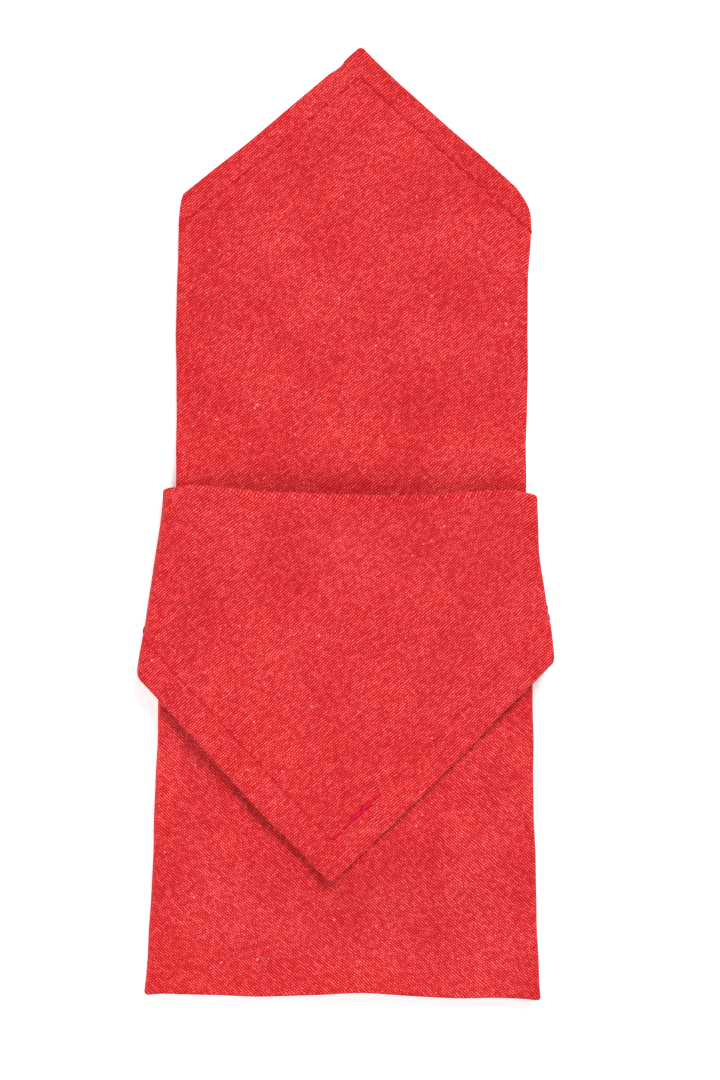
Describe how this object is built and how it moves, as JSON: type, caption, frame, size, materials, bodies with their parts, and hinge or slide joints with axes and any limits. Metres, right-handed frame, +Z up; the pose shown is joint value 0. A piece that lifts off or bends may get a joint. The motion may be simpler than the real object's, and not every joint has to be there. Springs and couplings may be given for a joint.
{
  "type": "folded cloth napkin",
  "caption": "Hemmed red cloth napkin folded into a long flat pocket for cutlery, with a pointed top and a pointed flap turned down over the front.",
  "frame": {"origin": "on the surface that the napkin lies on, under the middle of its outline", "axes": "+Y along the napkin towards its top point, +X across it to the right as it is seen from above, +Z up from the surface"},
  "size_m": [0.1162, 0.2655, 0.0146],
  "materials": {
    "red_cloth": "dry plain weave, red with paler flecks"
  },
  "bodies": {
    "root": {"napkin_cloth": "red_cloth"}
  },
  "joints": []
}
